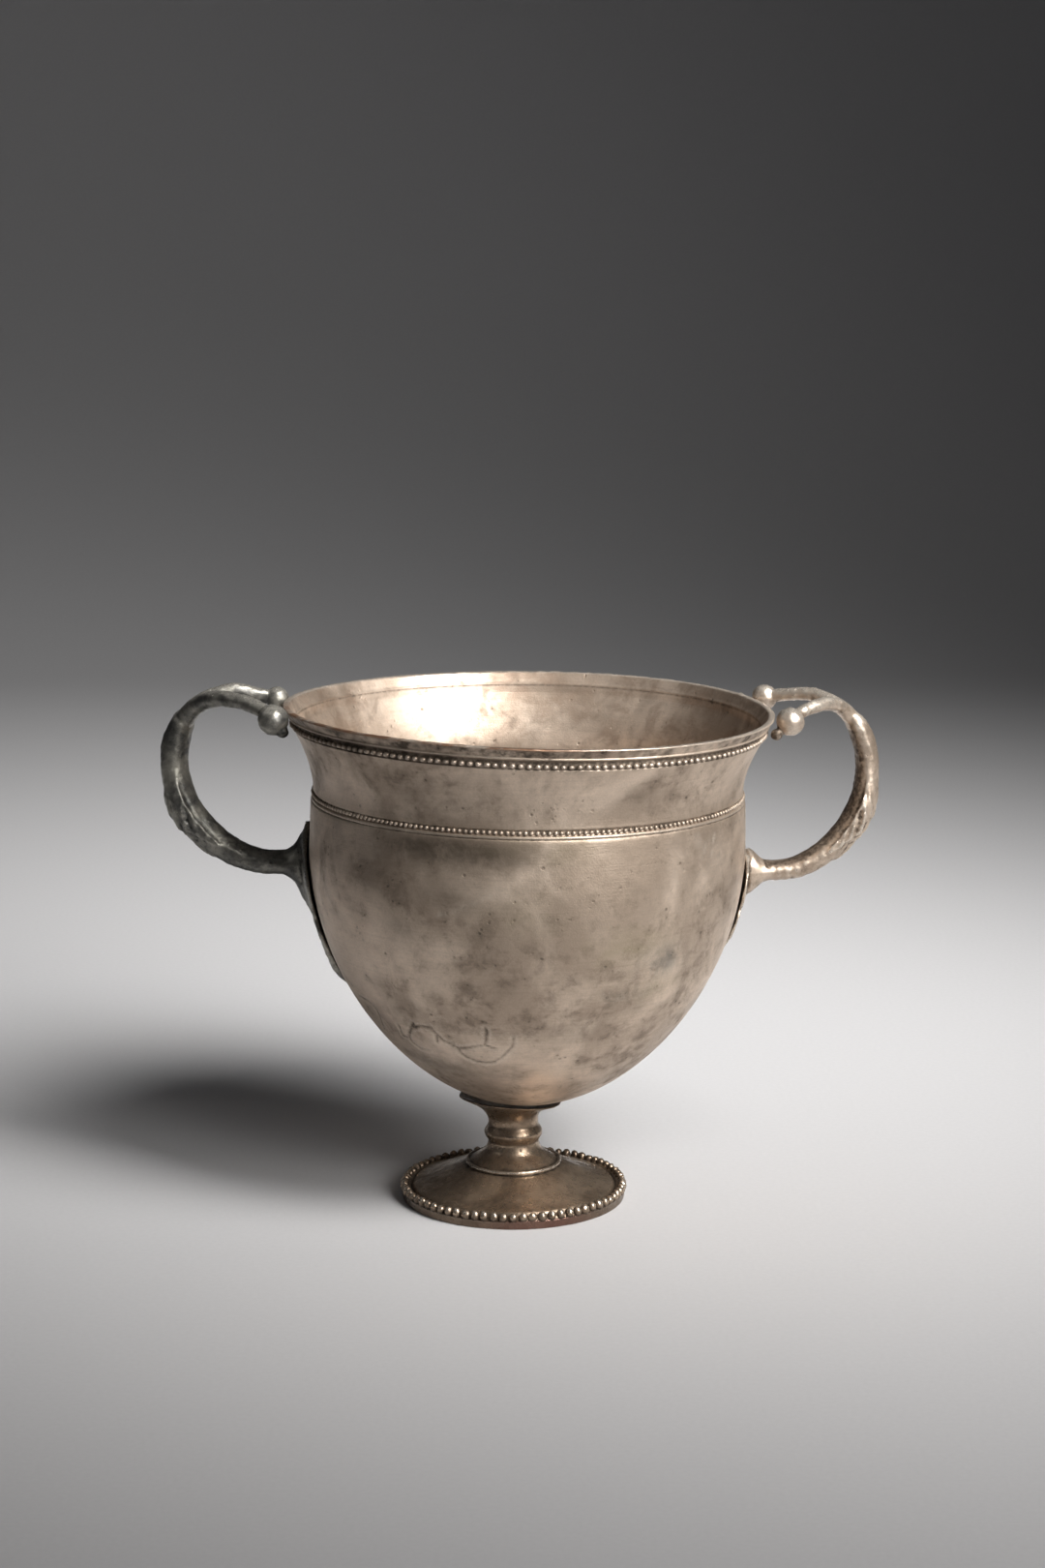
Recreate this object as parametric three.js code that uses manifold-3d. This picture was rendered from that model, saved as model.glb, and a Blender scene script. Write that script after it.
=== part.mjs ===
// Silver drinking cup on a low stemmed foot, with two forked ring handles.
// Units are millimetres, +Z is up, and the cup stands on Z = 0.
import * as THREE from 'three';
import { mergeVertices } from 'three/addons/utils/BufferGeometryUtils.js';
import Module from 'manifold-3d';

const wasm = await Module();
wasm.setup();

// Driving sizes of the bowl
const RIM_RADIUS = 53.0;
const RIM_HEIGHT = 109.5;
const BELLY_RADIUS = 47.3;
const BELLY_HEIGHT = 79.0; // height of the widest level
const BELLY_DEPTH = 57.5; // from the widest level down to the lowest point
const BELLY_POWER = 1.86; // 2 would be an ellipse, less is more pointed
const SHOULDER_HEIGHT = 89.5; // top of the belly, under the lower row of beads
const SHOULDER_RADIUS = 47.0;
const NECK_HEIGHT = 92.4; // narrowest level, over the lower row of beads
const NECK_RADIUS = 46.5;
const NECK_TOP_HEIGHT = 104.9;
const NECK_TOP_RADIUS = 50.8;
const NECK_POWER = 1.7; // how late the neck starts to flare
const WALL = 1.25;
const LIP_WIDTH = 1.7;
const LIP_DROP = 2.5; // depth of the thicker band inside the mouth
const LIP_ROUND = 0.4; // how much the edge of the mouth is rounded off
const EDGE_MARGIN = 0.1; // seats a moulding in the wall under it
const LOWER_BEADS = { height: 91.1, radius: 46.75, size: 0.4 };
const UPPER_BEADS = { height: 105.7, radius: 51.25, size: 0.55 };
const BOWL_SIDES = 36;
const GAP = 0.3; // kept between separate pieces

// How the bowl was soldered on: off the foot's centre, and not upright
const BOWL_SHIFT = 0.25;
const BOWL_LEAN = THREE.MathUtils.degToRad(0.6);
const RIM_TILT = Math.tan(THREE.MathUtils.degToRad(0.6)); // more tilt, in the neck alone
const RIM_WARP = 0.35; // mouth pushed up at back right and front left, down at the others

// Driving sizes of the foot
const FOOT_SHIFT = -2.0;
const FOOT_RADIUS = 24.6;
const REST_RING_WIDTH = 3.8;
const UNDERSIDE_DEPTH = 3.3;
const EDGE_HEIGHT = 1.8; // plain band under the beads
const EDGE_ROUND = 0.4;
const DISC_RADIUS = 22.3;
const DISC_EDGE_HEIGHT = 2.7;
const DISC_TOP_HEIGHT = 7.3;
const COLLAR_RADIUS = 10.6; // turned ring where the bell meets the disc
const COLLAR_HEIGHT = 8.0;
const COLLAR_SIZE = 0.6;
const STEM_RADIUS = 5.6;
const KNOP_RADIUS = 6.4;
const KNOP_HEIGHT = 14.35;
const KNOP_SIZE = 1.5;
const STEM_TOP = 22.6;
const FLANGE_RADIUS = 11.2;
const FLANGE_DEPTH = 2.2; // of the cone that widens to the flange
const FLANGE_SHIFT = -0.8;
const FLANGE_TILT = THREE.MathUtils.degToRad(4.5);
const FOOT_BEADS = { count: 72, height: 2.85, radius: 23.8, size: 1.05, valley: 0.55 };
const FOOT_SIDES = 36;

// Driving sizes of the handles, in the plane of each ring: radius from the bowl's axis, and height
const LEFT = {
  name: 'handle_left', azimuth: 177, reach: 77.8, waistHeight: 96.4,
  topRadius: 63.6, topHeight: 111.9, lowRadius: 54.6, lowHeight: 73.9,
  halfWidth: 3.5, halfDepth: 2.7, mergeAngle: 50, armRadius: 1.5,
  ballRadius: 3.0, ballDrop: 1.5, forkSpread: 12.7, forkRoll: 0,
  plateSway: -1.6, ringSway: -2.0, forkSway: 6.3, budInset: 1.9,
};
const RIGHT = {
  name: 'handle_right', azimuth: 6.8, reach: 75.4, waistHeight: 95.5,
  topRadius: 62.3, topHeight: 110.7, lowRadius: 54.0, lowHeight: 72.8,
  halfWidth: 3.4, halfDepth: 2.2, mergeAngle: 60, armRadius: 1.3,
  ballRadius: 2.65, ballDrop: 1.1, forkSpread: 13.7, forkRoll: 3,
  plateSway: 0, ringSway: 0, forkSway: 0, budInset: 2.1,
};
const BUD_RADIUS = 1.4; // small bead that ends each arm, between ball and neck
const BUD_DROP = 2.6;
const ROOT_SHARE = 0.1; // share of the ring's length that is its root on the plate
const SHEATH_SWELL = 0.85; // how far the leaf sheath stands proud of the ring
const SHEATH = { start: 0.36, lobe: 0.05, edge: 0.04, fade: 0.5, end: 0.62 }; // shares of the length
const GROOVE_DEPTH = 0.7; // between the two arms where they part
const PLATE_THICKNESS = 1.1;
const PLATE_CURL = 0.45; // how far the plate's edges stand off more than its middle
const RIB_STAND = 3.2; // rib that runs from the arm down the plate
const RIB_HALF_WIDTH = 3.2;
const LEAF_OUTLINE = [
  // height over the arm's root, half width
  [-25.8, 0.5], [-22, 3.4], [-17, 6.8], [-13, 9.3], [-10, 8.3],
  [-7, 11.0], [-1.5, 11.8], [3.5, 9.2], [7, 3.6], [9.2, 0.5],
];

const SILVER = { color: 0xa89c8b, roughness: 0.38, metalness: 0.9 };
const FOOT_BRONZED = { color: 0x7d6f5e, roughness: 0.42, metalness: 0.9 };
const LEFT_OXIDE = { color: 0x63625f, roughness: 0.5, metalness: 0.85 };
const RIGHT_SILVER = { color: 0xb3a08f, roughness: 0.4, metalness: 0.9 };

// Turns a closed three.js geometry into a solid, with its faces outward
function solid(geometry) {
  const bare = geometry.clone();
  bare.deleteAttribute('normal');
  bare.deleteAttribute('uv');
  const merged = mergeVertices(bare, 1e-4);
  const corners = Array.from(merged.index.array);
  const positions = merged.attributes.position;
  const triangles = [];
  let volume = 0;
  const [a, b, c] = [new THREE.Vector3(), new THREE.Vector3(), new THREE.Vector3()];
  for (let i = 0; i < corners.length; i += 3) {
    const [p, q, r] = corners.slice(i, i + 3);
    if (p === q || q === r || r === p) continue;
    triangles.push(p, q, r);
    a.fromBufferAttribute(positions, p);
    b.fromBufferAttribute(positions, q);
    c.fromBufferAttribute(positions, r);
    volume += a.dot(b.cross(c));
  }
  if (volume < 0) triangles.reverse();
  return new wasm.Manifold(new wasm.Mesh({
    numProp: 3,
    vertProperties: new Float32Array(positions.array),
    triVerts: new Uint32Array(triangles),
  }));
}

function join(solids) {
  return solids.reduce((whole, next) => whole.add(next));
}

function meshOf(name, manifold, finish) {
  const { vertProperties, triVerts } = manifold.getMesh();
  const geometry = new THREE.BufferGeometry();
  geometry.setAttribute('position', new THREE.BufferAttribute(vertProperties, 3));
  geometry.setIndex(new THREE.BufferAttribute(triVerts, 1));
  geometry.computeVertexNormals();
  const mesh = new THREE.Mesh(geometry, new THREE.MeshStandardMaterial(finish));
  mesh.name = name;
  return mesh;
}

// Turned shape about +Z, from a list of [radius, height]
function turned(profile, sides) {
  const points = profile.map(([radius, height]) => new THREE.Vector2(radius, height));
  return new THREE.LatheGeometry(points, sides).rotateX(Math.PI / 2);
}

function steps(from, to, count) {
  return Array.from({ length: count + 1 }, (_, i) => from + ((to - from) * i) / count);
}

// Half round moulding in a profile, bulging outward, from below to above
function halfRound(radius, height, size, count) {
  return steps(-Math.PI / 2, Math.PI / 2, count).map((turn) => [
    radius + size * Math.cos(turn),
    height + size * Math.sin(turn),
  ]);
}

// Outer radius of the belly at a height
function bellyRadius(height) {
  const down = Math.max(0, (BELLY_HEIGHT - height) / BELLY_DEPTH);
  return BELLY_RADIUS * (1 - down ** BELLY_POWER) ** (1 / BELLY_POWER);
}

function neckRadius(height) {
  const rise = Math.max(0, (height - NECK_HEIGHT) / (NECK_TOP_HEIGHT - NECK_HEIGHT));
  return NECK_RADIUS + (NECK_TOP_RADIUS - NECK_RADIUS) * rise ** NECK_POWER;
}

// Belly from its lowest point to its widest level, closer steps where it curves most
function bellyProfile(offset, count) {
  return steps(0, Math.PI / 2, count).map((turn) => {
    const radius = (BELLY_RADIUS + offset) * Math.sin(turn) ** (2 / BELLY_POWER);
    const drop = (BELLY_DEPTH + offset) * Math.cos(turn) ** (2 / BELLY_POWER);
    return [radius, BELLY_HEIGHT - drop];
  });
}

// The mouth sits a little askew on the neck, and is warped
function rimRise(x, y) {
  return -x * RIM_TILT + RIM_WARP * Math.sin(2 * Math.atan2(y, x));
}

function settleRim(geometry) {
  const position = geometry.attributes.position;
  for (let i = 0; i < position.count; i += 1) {
    const height = position.getZ(i);
    const share = THREE.MathUtils.smoothstep(height, SHOULDER_HEIGHT, RIM_HEIGHT);
    position.setZ(i, height + rimRise(position.getX(i), position.getY(i)) * share);
  }
  return geometry;
}

function makeBowl() {
  const lipFoot = RIM_HEIGHT - LIP_DROP;
  const outside = [
    ...bellyProfile(0, 8),
    [BELLY_RADIUS, BELLY_HEIGHT + 5],
    [SHOULDER_RADIUS, SHOULDER_HEIGHT],
    [LOWER_BEADS.radius - EDGE_MARGIN, LOWER_BEADS.height - LOWER_BEADS.size - 0.7],
    ...halfRound(LOWER_BEADS.radius, LOWER_BEADS.height, LOWER_BEADS.size, 2),
    ...steps(NECK_HEIGHT, NECK_TOP_HEIGHT, 4).map((height) => [neckRadius(height), height]),
    ...halfRound(UPPER_BEADS.radius, UPPER_BEADS.height, UPPER_BEADS.size, 2),
    [UPPER_BEADS.radius + LIP_ROUND, UPPER_BEADS.height + 2 * UPPER_BEADS.size],
    [RIM_RADIUS - LIP_ROUND, lipFoot + LIP_ROUND],
    [RIM_RADIUS, RIM_HEIGHT - LIP_ROUND],
    [RIM_RADIUS - LIP_ROUND, RIM_HEIGHT],
  ];
  const inside = [
    [RIM_RADIUS - LIP_WIDTH + LIP_ROUND, RIM_HEIGHT],
    [RIM_RADIUS - LIP_WIDTH, RIM_HEIGHT - LIP_ROUND],
    [UPPER_BEADS.radius - WALL - EDGE_MARGIN, lipFoot],
    [UPPER_BEADS.radius - WALL + EDGE_MARGIN, lipFoot - LIP_ROUND],
    ...steps(NECK_TOP_HEIGHT, NECK_HEIGHT, 2).map((height) => [neckRadius(height) - WALL, height]),
    [SHOULDER_RADIUS - WALL, SHOULDER_HEIGHT - 1],
    ...bellyProfile(-WALL, 6).reverse(),
  ];
  return solid(settleRim(turned([...outside, ...inside], BOWL_SIDES)));
}

// Ring of beads round the foot: one peak and one valley for each bead
function footBeads() {
  const { count, height, radius, size, valley } = FOOT_BEADS;
  const ring = new THREE.TorusGeometry(radius, size, 4, count * 2);
  const position = ring.attributes.position;
  for (let i = 0; i < position.count; i += 1) {
    const turn = Math.atan2(position.getY(i), position.getX(i));
    const step = Math.round((turn * count) / Math.PI);
    const scale = step % 2 === 0 ? 1 : valley;
    const out = Math.hypot(position.getX(i), position.getY(i)) - radius;
    position.setX(i, (radius + out * scale) * Math.cos(turn));
    position.setY(i, (radius + out * scale) * Math.sin(turn));
    position.setZ(i, position.getZ(i) * scale);
  }
  return ring.translate(0, 0, height);
}

// Dished flange under the bowl, tilted to lie along the bowl's off-centre bottom
function flange() {
  const dish = turned([
    [0, STEM_TOP - 1.3 * FLANGE_DEPTH],
    [STEM_RADIUS + 1, STEM_TOP - FLANGE_DEPTH],
    [FLANGE_RADIUS, STEM_TOP - 0.25 * FLANGE_DEPTH],
    [FLANGE_RADIUS, STEM_TOP + FLANGE_DEPTH],
    [0, STEM_TOP + FLANGE_DEPTH],
  ], FOOT_SIDES);
  dish.translate(0, 0, -STEM_TOP);
  dish.rotateY(FLANGE_TILT);
  return dish.translate(FLANGE_SHIFT, 0, STEM_TOP);
}

function makeFoot() {
  const restOuter = FOOT_RADIUS - EDGE_ROUND;
  const restInner = restOuter - REST_RING_WIDTH;
  const knopTube = KNOP_RADIUS - STEM_RADIUS;
  const bell = [[3.4, 1.0], [1.7, 2.2], [0.4, 3.4]]; // outside the stem, over the collar
  const profile = [
    [0, UNDERSIDE_DEPTH],
    [restInner - EDGE_ROUND, EDGE_ROUND],
    [restInner, 0],
    [restOuter, 0],
    [FOOT_RADIUS, EDGE_ROUND],
    [FOOT_RADIUS, EDGE_HEIGHT],
    [FOOT_BEADS.radius, FOOT_BEADS.height],
    [DISC_RADIUS, DISC_EDGE_HEIGHT - EDGE_ROUND],
    [DISC_RADIUS - 2 * EDGE_ROUND, DISC_EDGE_HEIGHT + EDGE_ROUND],
    [(DISC_RADIUS + COLLAR_RADIUS) / 2, (DISC_EDGE_HEIGHT + DISC_TOP_HEIGHT) / 2 - EDGE_ROUND],
    [COLLAR_RADIUS - COLLAR_SIZE / 2, DISC_TOP_HEIGHT - COLLAR_SIZE / 2],
    ...halfRound(COLLAR_RADIUS - COLLAR_SIZE, COLLAR_HEIGHT, COLLAR_SIZE, 2),
    ...bell.map(([out, up]) => [STEM_RADIUS + out, COLLAR_HEIGHT + up]),
    [STEM_RADIUS, KNOP_HEIGHT - KNOP_SIZE],
    ...halfRound(STEM_RADIUS, KNOP_HEIGHT, knopTube, 2),
    [STEM_RADIUS, KNOP_HEIGHT + KNOP_SIZE],
    [STEM_RADIUS + 0.3, (KNOP_HEIGHT + STEM_TOP) / 2],
    [STEM_RADIUS + 2, STEM_TOP - FLANGE_DEPTH],
    [0, STEM_TOP - FLANGE_DEPTH],
  ];
  const lowest = bellyProfile(GAP, 16).slice(0, 6);
  const below = turned([...lowest, [0, lowest.at(-1)[1]]], FOOT_SIDES);
  below.rotateY(BOWL_LEAN).translate(BOWL_SHIFT - FOOT_SHIFT, 0, 0);
  return join([solid(turned(profile, FOOT_SIDES)), solid(footBeads()), solid(flange())])
    .subtract(solid(below));
}

// Bar along a path. The path gives a point for each share from 0 to 1, and the section gives
// [across, inward] for each share and each direction round the bar.
function bar(path, section, sides, stations) {
  const geometry = new THREE.CylinderGeometry(1, 1, 1, sides, stations);
  const position = geometry.attributes.position;
  const step = 1e-3;
  for (let i = 0; i < position.count; i += 1) {
    const share = 0.5 - position.getY(i);
    const along = path(Math.min(1, share + step)).sub(path(Math.max(0, share - step))).normalize();
    const across = new THREE.Vector3(0, 1, 0).addScaledVector(along, -along.y).normalize();
    const inward = along.clone().cross(across);
    const [x, z] = [position.getX(i), position.getZ(i)];
    const [side, depth] = Math.hypot(x, z) < 1e-6 ? [0, 0] : section(share, x, z);
    const place = path(share).addScaledVector(across, side).addScaledVector(inward, depth);
    position.setXYZ(i, place.x, place.y, place.z);
  }
  return geometry;
}

// Middle line of the ring, in its own plane: a short root, a lower quarter, then an upper part
function ringPoint(handle, turn) {
  const upper = turn > 0;
  const midRadius = upper ? handle.topRadius : handle.lowRadius;
  const rise = upper ? handle.topHeight - handle.waistHeight : handle.waistHeight - handle.lowHeight;
  return new THREE.Vector3(
    midRadius + (handle.reach - midRadius) * Math.cos(turn),
    0,
    handle.waistHeight + rise * Math.sin(turn),
  );
}

function ringPath(handle) {
  const rootRadius = BELLY_RADIUS + GAP + PLATE_THICKNESS;
  const end = THREE.MathUtils.degToRad(handle.mergeAngle);
  return (share) => {
    const turn = THREE.MathUtils.mapLinear(share, ROOT_SHARE, 1, -Math.PI / 2, end);
    const point = ringPoint(handle, Math.max(turn, -Math.PI / 2));
    const root = Math.min(1, share / ROOT_SHARE);
    point.x = THREE.MathUtils.lerp(rootRadius, point.x, root);
    const out = THREE.MathUtils.smoothstep(share, 0, 0.6);
    point.y = THREE.MathUtils.lerp(handle.plateSway, handle.ringSway, out);
    return point;
  };
}

// Section of the ring: round outside, nearly flat inside, flared at the root, with a leaf sheath
function ringSection(handle) {
  return (share, x, z) => {
    const power = z > 0 ? 0.5 : 0.95;
    const flare = 1 - THREE.MathUtils.smoothstep(share, 0, ROOT_SHARE);
    const width = handle.halfWidth * (0.88 + 0.2 * share + 0.35 * flare);
    const depth = handle.halfDepth * (1 + 1.3 * flare * flare);
    const outward = z < 0.1;
    const start = SHEATH.start - SHEATH.lobe * Math.cos(Math.atan2(x, -z) * 3);
    const opened = THREE.MathUtils.smoothstep(share, start, start + SHEATH.edge);
    const closed = THREE.MathUtils.smoothstep(share, SHEATH.fade, SHEATH.end);
    const sheath = outward ? opened * (1 - closed) : 0;
    const groove = z < -0.9 ? GROOVE_DEPTH * THREE.MathUtils.smoothstep(share, 0.75, 1) : 0;
    const swell = 1 + (sheath * SHEATH_SWELL) / handle.halfDepth;
    const side = width * Math.sign(x) * Math.abs(x) ** power * (1 + (swell - 1) * 0.6);
    const inward = depth * Math.sign(z) * Math.abs(z) ** power * (z < 0 ? swell : 0.9);
    return [side, inward + groove];
  };
}

// One arm of the fork, from inside the ring up and over to its ball
function armPath(handle, side, ball) {
  const merge = THREE.MathUtils.degToRad(handle.mergeAngle);
  const points = [
    [merge - 0.22, 0.14], [merge + 0.1, 0.24], [Math.PI / 2 - 0.1, 0.55],
  ].map(([turn, spread]) => {
    const point = ringPoint(handle, turn);
    const centre = THREE.MathUtils.lerp(handle.ringSway, handle.forkSway, spread);
    point.y = centre + side * handle.forkSpread * spread;
    return point;
  });
  const last = points[points.length - 1];
  const bend = last.clone().lerp(ball, 0.6);
  bend.z += 0.9;
  const curve = new THREE.CatmullRomCurve3([...points, bend, ball]);
  return (share) => curve.getPoint(share);
}

function ballPlace(handle, side) {
  const across = handle.forkSway + side * handle.forkSpread;
  const rolled = side * handle.forkSpread * Math.tan(THREE.MathUtils.degToRad(handle.forkRoll));
  const drop = handle.ballDrop - rolled;
  const reach = RIM_RADIUS + Math.sqrt((handle.ballRadius + GAP) ** 2 - Math.max(0, drop - 0.35) ** 2);
  const radial = Math.sqrt(reach ** 2 - across ** 2);
  const azimuth = THREE.MathUtils.degToRad(handle.azimuth);
  const x = radial * Math.cos(azimuth) - across * Math.sin(azimuth);
  const y = radial * Math.sin(azimuth) + across * Math.cos(azimuth);
  return new THREE.Vector3(radial, across, RIM_HEIGHT - drop + rimRise(x, y));
}

// Leaf-shaped plate that follows the belly, with a rib under the arm
function plate(handle) {
  const outline = new THREE.SplineCurve(LEAF_OUTLINE.map(([rise, half]) => new THREE.Vector2(rise, half)));
  const geometry = new THREE.BoxGeometry(1, 1, 1, 4, 14, 1);
  const position = geometry.attributes.position;
  for (let i = 0; i < position.count; i += 1) {
    const [rise, half] = outline.getPoint(position.getY(i) + 0.5).toArray();
    const height = handle.lowHeight + rise;
    const across = 2 * position.getX(i) * Math.max(half, 0.4);
    const wall = Math.sqrt(bellyRadius(height) ** 2 - (across + handle.plateSway) ** 2);
    const edge = (across / 11) ** 2;
    const below = THREE.MathUtils.smoothstep(rise, -22, 0);
    const above = 1 - THREE.MathUtils.smoothstep(rise, 0, 9);
    const rib = RIB_STAND * below ** 1.5 * above * Math.exp(-((across / RIB_HALF_WIDTH) ** 2));
    const outer = position.getZ(i) > 0 ? PLATE_THICKNESS * (1 - 0.3 * edge) + rib : 0;
    position.setXYZ(i, wall + GAP + 0.05 + PLATE_CURL * edge + outer, across + handle.plateSway, height);
  }
  return geometry;
}

function makeHandle(handle) {
  const pieces = [
    solid(plate(handle)),
    solid(bar(ringPath(handle), ringSection(handle), 10, 24)),
  ];
  for (const side of [-1, 1]) {
    const ball = ballPlace(handle, side);
    const taper = (share, x, z) => {
      const radius = THREE.MathUtils.lerp(handle.halfDepth * 0.86, handle.armRadius, Math.sqrt(share));
      return [x * radius, z * radius];
    };
    const bud = new THREE.Vector3(ball.x - handle.budInset, ball.y + side * 0.6, ball.z - BUD_DROP);
    pieces.push(
      solid(bar(armPath(handle, side, ball), taper, 6, 7)),
      solid(new THREE.SphereGeometry(handle.ballRadius, 8, 6).translate(...ball)),
      solid(new THREE.SphereGeometry(BUD_RADIUS, 6, 4).translate(...bud)),
    );
  }
  return join(pieces);
}

const object = new THREE.Group();

const foot = meshOf('foot', makeFoot(), FOOT_BRONZED);
foot.position.x = FOOT_SHIFT;
object.add(foot);

const cup = new THREE.Group();
cup.position.x = BOWL_SHIFT;
cup.rotation.y = BOWL_LEAN;
cup.add(meshOf('bowl', makeBowl(), SILVER));
for (const [handle, finish] of [[LEFT, LEFT_OXIDE], [RIGHT, RIGHT_SILVER]]) {
  const mesh = meshOf(handle.name, makeHandle(handle), finish);
  mesh.rotation.z = THREE.MathUtils.degToRad(handle.azimuth);
  cup.add(mesh);
}
object.add(cup);

export default object;
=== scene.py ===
import math

import bmesh
import bpy
import numpy as np
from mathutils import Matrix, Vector


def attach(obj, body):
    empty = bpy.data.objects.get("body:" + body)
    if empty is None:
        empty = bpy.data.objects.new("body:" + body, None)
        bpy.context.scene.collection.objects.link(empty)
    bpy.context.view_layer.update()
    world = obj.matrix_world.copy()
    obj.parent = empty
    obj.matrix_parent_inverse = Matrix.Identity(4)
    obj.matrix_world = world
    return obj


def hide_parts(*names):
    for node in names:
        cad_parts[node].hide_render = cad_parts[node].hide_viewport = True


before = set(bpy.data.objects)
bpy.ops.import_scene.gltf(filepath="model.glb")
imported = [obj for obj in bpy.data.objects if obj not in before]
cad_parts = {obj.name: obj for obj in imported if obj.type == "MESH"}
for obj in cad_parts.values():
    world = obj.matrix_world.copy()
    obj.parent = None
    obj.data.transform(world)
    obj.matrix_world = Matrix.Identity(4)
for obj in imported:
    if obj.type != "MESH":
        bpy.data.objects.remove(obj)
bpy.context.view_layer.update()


# --- The photograph's view -------------------------------------------------------------------
# A long lens a little over 60 cm from the cup, looking slightly down on it. The floor is a plain
# pale sweep of paper that rises behind the cup. A high softbox at the front right lights it, with
# a lower fill beside that and a weak one from the left.

PHOTO_HEIGHT = 1620
FOCAL_PIXELS = 3122.07
LOOK_DOWN = math.radians(10.607)
MM = 0.001

camera = bpy.data.objects.new("camera", bpy.data.cameras.new("camera"))
camera.data.sensor_width = 36
camera.data.lens = FOCAL_PIXELS / PHOTO_HEIGHT * camera.data.sensor_width
camera.data.clip_start = 0.01
camera.location = (0, -642.98 * MM, 212.99 * MM)
camera.rotation_euler = (math.pi / 2 - LOOK_DOWN, 0, 0)
bpy.context.scene.collection.objects.link(camera)
bpy.context.scene.camera = camera
bpy.context.scene.view_settings.view_transform = "Standard"


def add_node(tree, kind, settings, sockets):
    """Adds a node, sets its properties, and fills its inputs with values or links."""
    node = tree.nodes.new(kind)
    for name, value in settings.items():
        setattr(node, name, value)
    for name, value in sockets.items():
        socket = node.inputs[name]
        if isinstance(value, bpy.types.NodeSocket):
            tree.links.new(value, socket)
        else:
            socket.default_value = value
    return node


def new_material(name):
    material = bpy.data.materials.new(name)
    material.use_nodes = True
    material.node_tree.nodes.clear()
    return material, material.node_tree


PAPER_WIDTH = 3.2
PAPER_FRONT = -1.6
PAPER_FLAT = 0.75
PAPER_BEND = 0.55
PAPER_TURN = math.radians(84)
PAPER_LEAN = 0.1
PAPER_TOP = 1.7


def only(kind, found):
    return [part for part in found if isinstance(part, kind)]


bm = bmesh.new()
front_ends = [bm.verts.new((side * PAPER_WIDTH / 2, PAPER_FRONT, 0)) for side in (-1, 1)]
flat_end = bmesh.ops.extrude_edge_only(bm, edges=[bm.edges.new(front_ends)])["geom"]
bmesh.ops.translate(
    bm, verts=only(bmesh.types.BMVert, flat_end), vec=(0, PAPER_FLAT - PAPER_FRONT, 0))
bend = bmesh.ops.spin(
    bm, geom=only(bmesh.types.BMEdge, flat_end), cent=(0, PAPER_FLAT, PAPER_BEND),
    axis=(1, 0, 0), angle=PAPER_TURN, steps=24,
)["geom_last"]
wall_end = bmesh.ops.extrude_edge_only(bm, edges=only(bmesh.types.BMEdge, bend))["geom"]
bmesh.ops.translate(
    bm, verts=only(bmesh.types.BMVert, wall_end), vec=(0, PAPER_LEAN, PAPER_TOP - PAPER_BEND))
bmesh.ops.recalc_face_normals(bm, faces=bm.faces)
paper_mesh = bpy.data.meshes.new("paper_floor")
bm.to_mesh(paper_mesh)
bm.free()
for polygon in paper_mesh.polygons:
    polygon.use_smooth = True
paper = bpy.data.objects.new("paper_floor", paper_mesh)
bpy.context.scene.collection.objects.link(paper)

paper_material, tree = new_material("pale_paper")
where = add_node(tree, "ShaderNodeTexCoord", {}, {}).outputs["Object"]
fibre = add_node(tree, "ShaderNodeTexNoise", {}, {"Vector": where, "Scale": 900, "Detail": 2})
tint = add_node(tree, "ShaderNodeMix", {"data_type": "RGBA"}, {
    "Factor": fibre.outputs["Fac"], 6: (0.585, 0.58, 0.585, 1), 7: (0.635, 0.63, 0.635, 1),
})
surface = add_node(tree, "ShaderNodeBsdfPrincipled", {}, {
    "Base Color": tint.outputs[2], "Roughness": 0.9,
})
surface.inputs["Specular IOR Level"].default_value = 0.2
add_node(tree, "ShaderNodeOutputMaterial", {}, {"Surface": surface.outputs[0]})
paper.data.materials.append(paper_material)


CUP_MIDDLE = Vector((0, 0, 0.06))


def soft_light(name, toward, distance, size, watts, colour, spread, aim):
    """Square softbox at an azimuth and elevation from the cup, aimed at a point near it."""
    light = bpy.data.objects.new(name, bpy.data.lights.new(name, "AREA"))
    light.data.shape = "SQUARE"
    light.data.size = size
    light.data.energy = watts
    light.data.color = colour
    light.data.spread = math.radians(spread)
    azimuth, elevation = (math.radians(a) for a in toward)
    light.location = Vector((
        math.cos(elevation) * math.cos(azimuth),
        math.cos(elevation) * math.sin(azimuth),
        math.sin(elevation),
    )) * distance + CUP_MIDDLE
    light.rotation_euler = (Vector(aim) - light.location).to_track_quat("-Z", "Y").to_euler()
    bpy.context.scene.collection.objects.link(light)


soft_light("key_softbox", toward=(-34, 49), distance=0.75, size=0.38, watts=1.16,
           colour=(1.0, 0.99, 0.98), spread=48, aim=(-0.04, 0.25, 0))
soft_light("front_fill", toward=(-50, 24), distance=0.95, size=0.5, watts=0.98,
           colour=(1.0, 0.985, 0.97), spread=66, aim=(0, 0.03, 0.11))
soft_light("side_fill", toward=(193, 34), distance=1.2, size=0.4, watts=0.10,
           colour=(0.97, 0.98, 1.0), spread=120, aim=(0, 0, 0.09))

room = bpy.data.worlds.new("dim_studio")
room.use_nodes = True
glow = room.node_tree.nodes["Background"].inputs
glow["Color"].default_value = (0.30, 0.30, 0.31, 1)
glow["Strength"].default_value = 0.11
bpy.context.scene.world = room


# --- Foot ------------------------------------------------------------------------------------
# Cast silver, turned on a lathe: plain band, dished disc, collar, bell, stem with one knop, and a
# thin flange that opens like a cone under the bowl. Its tarnish is brown and nearly even.

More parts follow.
